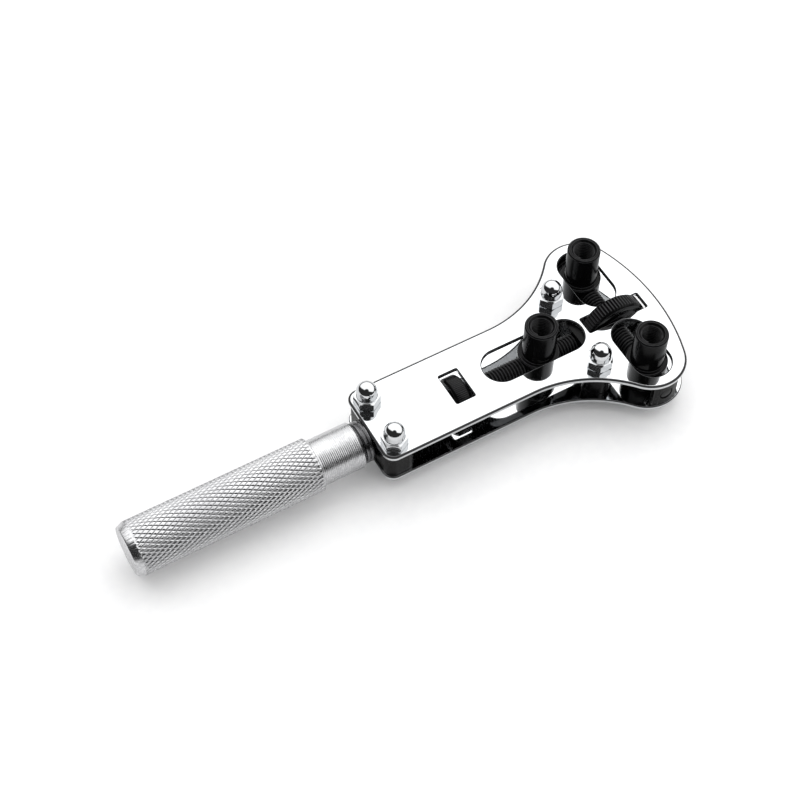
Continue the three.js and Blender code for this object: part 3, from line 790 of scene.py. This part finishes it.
def makeStud(s):
    low, high = boxOf("handle_stud")
    radius = (high[2] - low[2]) / 2
    angles = turnAngles(s["sides"])
    ends = radius - s["lead"]
    blocks = [
        plainBlock([[0, low[0]], [ends, low[0]], [ends + 0.1, low[0] + 0.1]], angles, 0.05, 2),
        threadBlock(radius, radius - s["depth"], s["pitch"], low[0] + 0.1, high[0] - 0.1, angles, ends + 0.1),
        plainBlock([[ends + 0.1, high[0] - 0.1], [ends, high[0]], [0, high[0]]], angles, 0.05, 2),
    ]
    stud = turnedPiece("handleStud", blocks, angles, "x", (0, 0, axisHeight))
    place(stud, "frame", "handle_stud", "plainScrew")


def makeCollar(s):
    low, high = boxOf("handle_collar")
    radius = (high[2] - low[2]) / 2
    middle = (low[0] + high[0]) / 2
    half, depth = s["grooveWidth"] / 2, s["grooveDepth"]
    angles = turnAngles(s["sides"])
    ring = plainBlock([
        [s["bore"], middle], [s["bore"], low[0]], [radius - s["edge"], low[0]], [radius, low[0] + s["edge"]],
        [radius, middle - half], [radius - depth, middle - half / 2], [radius - depth, middle + half / 2],
        [radius, middle + half], [radius, high[0] - s["edge"]], [radius - s["edge"], high[0]],
        [s["bore"], high[0]], [s["bore"], middle]], angles, 0.12, 3)
    collar = turnedPiece("handleCollar", [ring], angles, "x", (0, 0, axisHeight))
    place(collar, "frame", "handle_collar", "collar")


makeStud(studSettings)
makeCollar(collarSettings)
print("handle made")


# Blocks and bearings between the plates

blockSettings = {"corner": 2.8, "edge": 0.3, "rollOver": 0.25, "screwHole": 2.15,
                 "studBore": 3.2, "studReach": 4.95, "journalBore": 2.15, "journalReach": 2.7}


def makeBlock(s):
    low, high = boxOf("handle_block")
    middle, half = (low + high) / 2, (high - low) / 2
    outline = windowOutline(middle[0], 0, half[0], half[1], s["corner"])
    openings = [circleOutline(*nutPlaces[end], s["screwHole"]) for end in ("rear_left", "rear_right")]
    block = platePiece("handleBlock", outline, openings, low[2], high[2], s["edge"], s["rollOver"])
    centre = (0, 0, axisHeight)
    drill(block, "x", centre, s["studBore"], low[0] - 1, low[0] + s["studReach"])
    drill(block, "x", centre, s["journalBore"], high[0] - s["journalReach"], high[0] + 1)
    place(block, "frame", "handle_block", "block")


bridgeSettings = {"webThickness": 2.5, "webFront": 60.35, "boss": 4.0, "edge": 0.25, "rollOver": 0.25,
                  "screwHole": 2.15, "journalBore": 2.15}


# Two bosses joined by a web: the outline leaves each boss where the web's faces cut its circle.
def makeBridge(s):
    low, high = boxOf("front_bridge")
    x, y = nutPlaces["front_left"]
    radius = s["boss"]
    front = s["webFront"] - x
    rear = front - s["webThickness"]
    frontAngle = math.degrees(math.asin(math.sqrt(radius ** 2 - front ** 2) / radius))
    rearAngle = math.degrees(math.acos(rear / radius))
    outline = [
        (x, y, radius, -frontAngle, 360 - rearAngle),
        (x, -y, radius, rearAngle, 360 + frontAngle),
    ]
    openings = [circleOutline(*nutPlaces[end], s["screwHole"]) for end in ("front_left", "front_right")]
    bridge = platePiece("frontBridge", outline, openings, low[2], high[2], s["edge"], s["rollOver"])
    drill(bridge, "x", (0, 0, axisHeight), s["journalBore"], x + rear - 1, x + front + 1)
    place(bridge, "frame", "front_bridge", "block")


bearingSettings = {"edge": 0.2, "rollOver": 0.25, "corner": 0.5, "outerRadius": 10.6, "setBack": 0.05,
                   "journalBore": 2.15, "boreReach": (20, 40), "pinHole": 0.7}


# The outer face follows the plates' round front corner; the other three sides are flat.
def makeBearing(s, side, name):
    low, high = boxOf(f"side_bearing_{name}")
    half = (high[0] - low[0]) / 2
    inner, outer = (low[1], high[1]) if side > 0 else (-high[1], -low[1])
    centre = outer - s["outerRadius"]
    corner = s["corner"]
    cut = math.degrees(math.acos((half - s["setBack"]) / s["outerRadius"]))
    arcs = [
        (crossX, centre, s["outerRadius"], cut, 180 - cut),
        (crossX - half + corner, inner + corner, corner, 180, 270),
        (crossX + half - corner, inner + corner, corner, 270, 360),
    ]
    if side < 0:
        arcs = [(x, -y, radius, -end, -start) for x, y, radius, start, end in reversed(arcs)]
    bearing = platePiece(f"sideBearing.{name}", arcs, [], low[2], high[2], s["edge"], s["rollOver"])
    start, end = sorted(side * reach for reach in s["boreReach"])
    drill(bearing, "y", (crossX, 0, axisHeight), s["journalBore"], start, end)
    for number in ("1", "2"):
        pin = f"bearing_pin_{name}_{number}"
        x, y = middleOf(pin)[:2]
        drill(bearing, "z", (x, y, 0), s["pinHole"], low[2] - 1, boxOf(pin)[1][2] + 0.1, sides=24)
    place(bearing, "frame", f"side_bearing_{name}", "block")


pinSettings = {"edge": 0.2, "sides": 32}


def makePin(s, node):
    low, high = boxOf(node)
    middle, radius = (low + high) / 2, (high[0] - low[0]) / 2
    angles = turnAngles(s["sides"])
    line = [[0, low[2]], [radius - s["edge"], low[2]], [radius, low[2] + s["edge"]],
            [radius, high[2] - s["edge"]], [radius - s["edge"], high[2]], [0, high[2]]]
    pinName = node.replace("bearing_pin", "bearingPin")
    pin = turnedPiece(pinName, [plainBlock(line, angles, 0.1, 3)], angles, "z", (middle[0], middle[1], 0))
    place(pin, "frame", node, "plainScrew")


makeBlock(blockSettings)
makeBridge(bridgeSettings)
for side, name in ((1, "left"), (-1, "right")):
    makeBearing(bearingSettings, side, name)
    for number in ("1", "2"):
        makePin(pinSettings, f"bearing_pin_{name}_{number}")
print("blocks and bearings made")


# Lead screws

leadScrewSettings = {"radius": 3.0, "depth": 0.55, "pitch": 1.0, "journal": 2.0, "journalLength": 2.4,
                     "lead": 0.3, "seatHalf": 3.1, "sides": 48}


# A journal with a small lead, then the shoulder.
def journalLine(s, shoulder, way):
    end = shoulder + way * s["journalLength"]
    line = [[0, end], [s["journal"] - s["lead"], end], [s["journal"], end - way * s["lead"]],
            [s["journal"], shoulder], [s["radius"] - s["depth"], shoulder]]
    return line if way < 0 else line[::-1]


def makeLongScrew(s):
    low, high = longLow[0] + s["journalLength"], longHigh[0] - s["journalLength"]
    angles = turnAngles(s["sides"])
    root = s["radius"] - s["depth"]
    blocks = [
        plainBlock(journalLine(s, low, -1), angles, 0.08, 2),
        threadBlock(s["radius"], root, s["pitch"], low, high, angles, root),
        plainBlock(journalLine(s, high, 1), angles, 0.08, 2),
    ]
    screw = turnedPiece("longScrew", blocks, angles, "x", (0, 0, axisHeight), 25)
    place(screw, "long_screw", "long_screw", "longScrew")


# Right-hand thread on the near half and left-hand on the far half, with a plain seat for the wheel.
def makeCrossScrew(s):
    low, high = crossLow[1] + s["journalLength"], crossHigh[1] - s["journalLength"]
    angles = turnAngles(s["sides"])
    root, seat = s["radius"] - s["depth"], s["seatHalf"]
    blocks = [
        plainBlock(journalLine(s, low, -1), angles, 0.08, 2),
        threadBlock(s["radius"], root, s["pitch"], low, -seat, angles, root),
        plainBlock([[root, -seat], [s["radius"], -seat], [s["radius"], seat], [root, seat]], angles, 0.1, 2),
        threadBlock(s["radius"], root, s["pitch"], seat, high, angles, root, -1),
        plainBlock(journalLine(s, high, 1), angles, 0.08, 2),
    ]
    screw = turnedPiece("crossScrew", blocks, angles, "y", (crossX, 0, axisHeight), 25)
    place(screw, "cross_screw", "cross_screw", "crossScrew")


makeLongScrew(leadScrewSettings)
makeCrossScrew(leadScrewSettings)
print("lead screws made")


# Thumb wheels

frontWheelSettings = {"radius": 10.5, "bore": 3.1, "chamfer": 0.7, "dishInner": 4.6, "dishOuter": 8.4,
                      "dishDepth": 0.6, "grooves": 66, "grooveDepth": 0.3, "setScrewHole": 1.15}
rearWheelSettings = {"radius": 6.5, "bore": 3.1, "chamfer": 0.7, "grooves": 72, "grooveDepth": 0.03,
                     "setScrewHole": 1.15}


# Half a wheel's side from the bore to the rim: [radius, distance from the wheel's middle].
def wheelSide(s, half):
    line = [[s["bore"], half]]
    if "dishInner" in s:
        floor = half - s["dishDepth"]
        line += [[s["dishInner"], half], [s["dishInner"] + s["dishDepth"], floor],
                 [s["dishOuter"] - s["dishDepth"], floor], [s["dishOuter"], half]]
    return line + [[s["radius"] - s["chamfer"], half]]


# A turned wheel with a grooved rim, and a hole for its set screw drilled through to the bore.
def makeWheel(name, node, body, s, axis, finish):
    low, high = boxOf(node)
    way = {"x": 0, "y": 1}[axis]
    middle, half = (low + high) / 2, (high[way] - low[way]) / 2
    angles = turnAngles(s["grooves"] * 4)
    rimReach = half - s["chamfer"]
    side = roundCorners([[s["bore"], 0]] + wheelSide(s, half) + [[s["radius"], rimReach]], 0.14, 3)[:-1]
    near = np.repeat((side * [1, -1, 1]).T[:, :, None], len(angles), axis=2)
    far = np.repeat(side[::-1].T[:, :, None], len(angles), axis=2)
    inset = s["radius"] - 0.12
    rim = groovedBlock([[inset, -rimReach - 0.15, 0], [s["radius"], -rimReach + 0.1, 1],
                        [s["radius"], rimReach - 0.1, 1], [inset, rimReach + 0.15, 0]],
                       angles, s["grooves"], s["grooveDepth"])
    wheel = turnedPiece(name, [near, rim, far], angles, axis, middle, 28)
    bottom = (middle[0], middle[1], 0)
    drill(wheel, "z", bottom, s["setScrewHole"], low[2] - 1, axisHeight - s["bore"] / 2, 28, 30)
    place(wheel, body, node, finish)


setScrewSettings = {"edge": 0.15, "key": 1.0, "keyDepth": 1.1, "sides": 36}


# A short plug with a six-sided key hole, seen from its lower end.
def makeSetScrew(s, node, body):
    low, high = boxOf(node)
    middle, radius = (low + high) / 2, (high[0] - low[0]) / 2
    angles = turnAngles(s["sides"])
    key = hexagonRadius(s["key"], angles)
    bottom, floor = low[2], low[2] + s["keyDepth"]
    hole = np.array([
        [0 * key, key, key],
        [floor + 0 * key, floor + 0 * key, bottom + 0 * key],
        [0 * key, 0 * key, 0.5 + 0 * key],
    ])
    outside = plainBlock([
        [radius - s["edge"], bottom], [radius, bottom + s["edge"]], [radius, high[2] - s["edge"]],
        [radius - s["edge"], high[2]], [0, high[2]]], angles, 0.05, 2)
    plug = turnedPiece(node.replace("_set_screw", "SetScrew").replace("_", ""), [hole, outside], angles, "z",
                       (middle[0], middle[1], 0))
    place(plug, body, node, "plainScrew")


makeWheel("frontWheel", "front_wheel", "cross_screw", frontWheelSettings, "y", "frontWheel")
makeWheel("rearWheel", "rear_wheel", "long_screw", rearWheelSettings, "x", "rearWheel")
makeSetScrew(setScrewSettings, "front_wheel_set_screw", "cross_screw")
makeSetScrew(setScrewSettings, "rear_wheel_set_screw", "long_screw")
print("thumb wheels made")


# Jaw posts

postSettings = {
    "radius": 4.9,
    "edge": 0.4,
    "socket": 3.38,
    "socketDepth": 9.0,
    "mouth": 0.45,
    "threadDepth": 0.4,
    "threadPitch": 0.75,
    "body": 6.2,
    "bodyHalf": 4.1,
    "bodyEdge": 0.3,
    "drillTip": 0.4,
    "threadStop": 0.6,
    "foot": 2.8,
    "screwBore": 3.2,
    "sides": 72,
}


# One turned piece: foot, wide body, post, and a threaded socket down its middle.
def makePost(s, node, body, screwAxis):
    low, high = boxOf(node)
    x, y = (low[:2] + high[:2]) / 2
    top, foot = high[2], low[2]
    bodyLow, bodyHigh = axisHeight - s["bodyHalf"], axisHeight + s["bodyHalf"]
    floor = top - s["socketDepth"]
    angles = turnAngles(s["sides"])
    root, bore = s["socket"], s["socket"] - s["threadDepth"]
    outside = plainBlock([
        [0, foot], [s["foot"], foot], [s["foot"], bodyLow], [s["body"] - s["bodyEdge"], bodyLow],
        [s["body"], bodyLow + s["bodyEdge"]], [s["body"], bodyHigh - s["bodyEdge"]],
        [s["body"] - s["bodyEdge"], bodyHigh], [s["radius"], bodyHigh],
        [s["radius"], top - s["edge"]], [s["radius"] - s["edge"], top], [root + s["mouth"], top],
        [root, top - s["mouth"]]], angles, 0.16, 4)
    threadEnd = floor + s["threadStop"]
    thread = threadBlock(bore, root, s["threadPitch"], threadEnd, top - s["mouth"], angles, root)[:, ::-1]
    bottom = plainBlock([[root, threadEnd], [root, floor], [0, floor - s["drillTip"]]], angles, 0.1, 2)
    postName = node.replace("_jaw_post", "JawPost")
    post = turnedPiece(postName, [outside, thread, bottom], angles, "z", (x, y, 0), 28)
    drill(post, screwAxis, (x, y, axisHeight), s["screwBore"], -3 * s["radius"], 3 * s["radius"], 28)
    place(post, body, node, "post")


makePost(postSettings, "centre_jaw_post", "centre_jaw", "x")
makePost(postSettings, "left_jaw_post", "left_jaw", "y")
makePost(postSettings, "right_jaw_post", "right_jaw", "y")
print("jaw posts made")


# Clamp screws and domed nuts

nutSettings = {
    "acrossFlats": 7.0,
    "hexHeight": 3.1,
    "dome": 3.1,
    "height": 7.9,
    "thread": 2.15,
    "threadDepth": 5.0,
    "chamferSlope": 0.55,   # rise of the corner chamfer for each millimetre outward
    "sides": 144,
    "turned": {"rear_left": 30.0, "rear_right": 27.0, "front_left": 4.0, "front_right": 0.0},  # degrees
}


# Hexagon and dome. The corner chamfer is where a cone meets the flats: its height drops
# by the slope times the distance of the flat beyond the cone's top radius.
def makeNut(s, end):
    node = "domed_nut_" + end
    low, high = boxOf(node)
    x, y = (low[:2] + high[:2]) / 2
    base = low[2]
    angles = turnAngles(s["sides"])
    hexagon = hexagonRadius(s["acrossFlats"], angles, 46, s["turned"][end])
    face = s["acrossFlats"] / 2 - 0.12
    drop = s["chamferSlope"] * (hexagon - face)
    top = base + s["hexHeight"]
    flat = 0 * angles
    sides = np.array([
        [face + flat, hexagon, hexagon, face + flat],
        [base + flat, base + drop, top - drop, top + flat],
        [flat, flat + 0.6, flat + 0.6, flat],
    ])
    domeCentre = base + s["height"] - s["dome"]
    sweep = np.radians(np.linspace(0, 90, 15))
    dome = np.column_stack([s["dome"] * np.cos(sweep), domeCentre + s["dome"] * np.sin(sweep), 0 * sweep])
    dome[-1, 0] = 0
    neck = roundCorners([[face, top], [s["dome"], top], [s["dome"], domeCentre]], 0.12, 4)
    crown = np.vstack([neck[:-1], dome])
    crown = np.repeat(crown.T[:, :, None], len(angles), axis=2)
    bore = plainBlock([[0, base + s["threadDepth"]], [s["thread"], base + s["threadDepth"]],
                       [s["thread"], base + 0.3], [s["thread"] + 0.3, base], [face, base]], angles, 0.08, 2)
    nutName = node.replace("domed_nut", "domedNut").replace("_", ".")
    nut = turnedPiece(nutName, [bore, sides, crown], angles, "z", (x, y, 0), 24)
    place(nut, "frame", node, "nut")


clampScrewSettings = {"shank": 2.0, "pitch": 0.7, "threadDepth": 0.3, "head": 3.5, "headHeight": 2.4,
                      "edge": 0.4, "key": 3.0, "keyDepth": 1.45, "grooves": 36, "grooveDepth": 0.16,
                      "threadFrom": 9.0, "threadEnd": 0.3, "tip": 0.6}


# A socket cap screw, head down: key hole, knurled head, shank and the threaded end inside the nut.
def makeClampScrew(s, node):
    low, high = boxOf(node)
    x, y = (low[:2] + high[:2]) / 2
    bottom, top = low[2], high[2]
    seat = bottom + s["headHeight"]
    angles = turnAngles(s["grooves"] * 4)
    key = hexagonRadius(s["key"], angles)
    flat = 0 * angles
    floor = bottom + s["keyDepth"]
    socket = np.array([
        [flat, key, key, key + 0.15],
        [floor + 0.3 + flat, floor + flat, bottom + 0.15 + flat, bottom + flat],
        [flat, flat, flat, flat + 1],
    ])
    rim, inner = s["head"] - s["edge"], s["head"] - 0.05
    rise = bottom + s["edge"]
    face = plainBlock([[rim - 0.5, bottom], [rim, bottom], [inner, rise]], angles, 0.12, 3)
    head = groovedBlock([
        [inner, rise, 0], [s["head"], rise + 0.1, 1], [s["head"], seat - 0.3, 1], [inner, seat - 0.15, 0]],
        angles, s["grooves"], s["grooveDepth"])
    threadStart, threadEnd = top - s["threadFrom"], top - s["threadEnd"]
    root = s["shank"] - s["threadDepth"]
    shank = plainBlock([
        [inner, seat - 0.1], [s["head"] - 0.1, seat], [s["shank"], seat], [s["shank"], threadStart]],
        angles, 0.06, 2)
    thread = threadBlock(s["shank"], root, s["pitch"], threadStart, threadEnd, angles, root)
    tip = plainBlock([[root, threadEnd], [s["shank"] - s["tip"], top], [0, top]], angles, 0.05, 2)
    screw = turnedPiece(node.replace("clamp_screw", "clampScrew").replace("_", "."),
                        [socket, face, head, shank, thread, tip], angles, "z", (x, y, 0), 28)
    place(screw, "frame", node, "plainScrew")


for end in nutPlaces:
    makeNut(nutSettings, end)
    makeClampScrew(clampScrewSettings, "clamp_screw_" + end)
print("clamp screws and nuts made")


# Studio

# Pale paper: a very slight mottle in tone and a fine tooth.
def paperMaterial(name, settings):
    material, tree, shader, where = startMaterial(name, settings)[:4]
    marks = useEffect(tree, "smudges", {"Place": where, "Patches Per Metre": 25.0})
    tree.links.new(blendColours(tree, marks["Mask"], settings["colour"], settings["mottle"]),
                   shader.inputs["Base Color"])
    shader.inputs["Roughness"].default_value = 0.9
    tooth = addNode(tree, "ShaderNodeTexNoise", {"Vector": where, "Scale": 900.0, "Detail": 2.0})
    bumpFrom(tree, shader, tooth.outputs["Fac"], 1e-5)
    return material


floorSettings = {"half": 6000.0, "cells": 12, "Metallic": 0.0, "Specular IOR Level": 0.1,
                 "colour": (0.93, 0.93, 0.93, 1), "mottle": (0.91, 0.91, 0.915, 1)}


# A flat grid at the tool's lowest point.
def makeFloor(s):
    steps = np.linspace(-s["half"], s["half"], s["cells"] + 1)
    x, y = np.meshgrid(steps, steps, indexing="ij")
    points = np.stack([x, y, 0 * x], -1).reshape(-1, 3)
    floor = makePiece("floorPaper", points, gridFaces(len(steps), len(steps)), None)
    if floor.data.polygons[0].normal.z < 0:
        floor.data.flip_normals()
    floor.data.materials.append(paperMaterial("floorPaper", s))


makeFloor(floorSettings)

# Each soft box: direction from the tool to its middle, distance, width, height and brightness.
lightSettings = {
    "mainBox": {"towards": (0.35, 0.45, 0.82), "distance": 0.65, "width": 0.5, "height": 0.5,
                "radiance": 0.8},
}


# A rectangular light facing the tool. Its power is brightness times pi times its area.
def makeLights(s):
    for name, box in s.items():
        data = bpy.data.lights.new(name, "AREA")
        data.shape = "RECTANGLE"
        data.size, data.size_y = box["width"], box["height"]
        data.energy = box["radiance"] * math.pi * box["width"] * box["height"]
        light = bpy.data.objects.new(name, data)
        light.visible_camera = False
        towards = Vector(box["towards"]).normalized()
        light.location = towards * box["distance"]
        light.rotation_mode = "QUATERNION"
        light.rotation_quaternion = towards.to_track_quat("Z", "Y")
        bpy.context.scene.collection.objects.link(light)


makeLights(lightSettings)

worldSettings = {
    "paper": (1.0, 1.0, 1.0, 1),
    "fill": 0.62,                  # even light on matt surfaces
    "clothShare": 0.5,             # how much of the cloth's light reaches them as well
    "cloth": 1.75,                 # brightness of the white cloth over the tool
    "dark": 0.035,                 # the rest of the room
    "middle": (0.584, 0.409, 0.701),  # towards the middle of the cloth
    "clothHalfAngle": 73.0,
    "clothFade": 4.0,
    "horizonFrom": 8.0,            # degrees above the floor where the cloth starts
    "horizonTo": 16.0,
    "lensSide": (-0.284, -0.49, 0.824),  # the cloth stops short of the lens
    "lensHalfAngle": 23.0,
}


# The room: pale where the lens sees it. Polished metal sees a white cloth hung over the far side, and a
# dark room elsewhere: brightness = dark + (cloth - dark) * foot * cap * clear, where foot rises with
# height above the floor, cap falls with the angle from the cloth's middle, and clear rises with the
# angle from the lens. Matt surfaces get a share of that brightness and an even fill.
def makeWorld(s):
    world = bpy.data.worlds.new("studio")
    bpy.context.scene.world = world
    world.use_nodes = True
    tree = world.node_tree
    tree.nodes.clear()
    path = addNode(tree, "ShaderNodeLightPath").outputs
    way = addNode(tree, "ShaderNodeTexCoord").outputs["Generated"]
    height = addNode(tree, "ShaderNodeSeparateXYZ", {0: way}).outputs["Z"]
    horizon = [math.sin(math.radians(s[key])) for key in ("horizonFrom", "horizonTo")]
    foot = rescale(tree, height, *horizon, 0, 1)
    caps = []
    for middle, halfAngle in ((s["middle"], s["clothHalfAngle"]), (s["lensSide"], s["lensHalfAngle"])):
        towards = addNode(tree, "ShaderNodeVectorMath", {0: way, 1: middle}, operation="DOT_PRODUCT")
        inner, outer = (math.cos(math.radians(halfAngle + side * s["clothFade"])) for side in (-1, 1))
        caps.append(rescale(tree, towards.outputs["Value"], outer, inner, 0, 1))
    clear = calculate(tree, "SUBTRACT", 1.0, caps[1])
    share = calculate(tree, "MULTIPLY", calculate(tree, "MULTIPLY", foot, caps[0]), clear)
    cloth = rescale(tree, share, 0, 1, s["dark"], s["cloth"])
    even = calculate(tree, "ADD", calculate(tree, "MULTIPLY", cloth, s["clothShare"]), s["fill"])
    pale = addNode(tree, "ShaderNodeBackground", {"Color": s["paper"], "Strength": 1.0}).outputs[0]
    fill = addNode(tree, "ShaderNodeBackground", {"Color": s["paper"], "Strength": even}).outputs[0]
    around = addNode(tree, "ShaderNodeBackground", {"Color": s["paper"], "Strength": cloth}).outputs[0]
    soft = addNode(tree, "ShaderNodeMixShader", {0: path["Is Diffuse Ray"], 1: around, 2: fill}).outputs[0]
    seen = addNode(tree, "ShaderNodeMixShader", {0: path["Is Camera Ray"], 1: soft, 2: pale}).outputs[0]
    addNode(tree, "ShaderNodeOutputWorld", {"Surface": seen})


makeWorld(worldSettings)
bpy.context.scene.view_settings.view_transform = "Standard"

cameraSettings = {
    "azimuth": -30.086,
    "elevation": 55.466,
    "roll": -0.606,
    "target": (3.268, 7.09, 10.5),
    "distance": 476.909,
    "lens": 74.76,
    "sensor": 36.0,
}


# The lens looks along f; right and down complete the frame, and both are turned by the roll.
def makeCamera(s):
    azimuth, elevation, roll = (math.radians(s[key]) for key in ("azimuth", "elevation", "roll"))
    forward = Vector((-math.sin(azimuth) * math.cos(elevation), math.cos(azimuth) * math.cos(elevation),
                      -math.sin(elevation)))
    right = Vector((math.cos(azimuth), math.sin(azimuth), 0))
    down = forward.cross(right)
    turnedRight = math.cos(roll) * right + math.sin(roll) * down
    turnedDown = math.cos(roll) * down - math.sin(roll) * right
    data = bpy.data.cameras.new("camera")
    data.lens, data.sensor_width = s["lens"], s["sensor"]
    camera = bpy.data.objects.new("camera", data)
    axes = Matrix((turnedRight, -turnedDown, -forward)).transposed().to_4x4()
    camera.matrix_world = Matrix.Translation((Vector(s["target"]) - forward * s["distance"]) * mm) @ axes
    data.clip_start, data.clip_end = 0.01, 50
    bpy.context.scene.collection.objects.link(camera)
    bpy.context.scene.camera = camera


makeCamera(cameraSettings)
print("studio made")
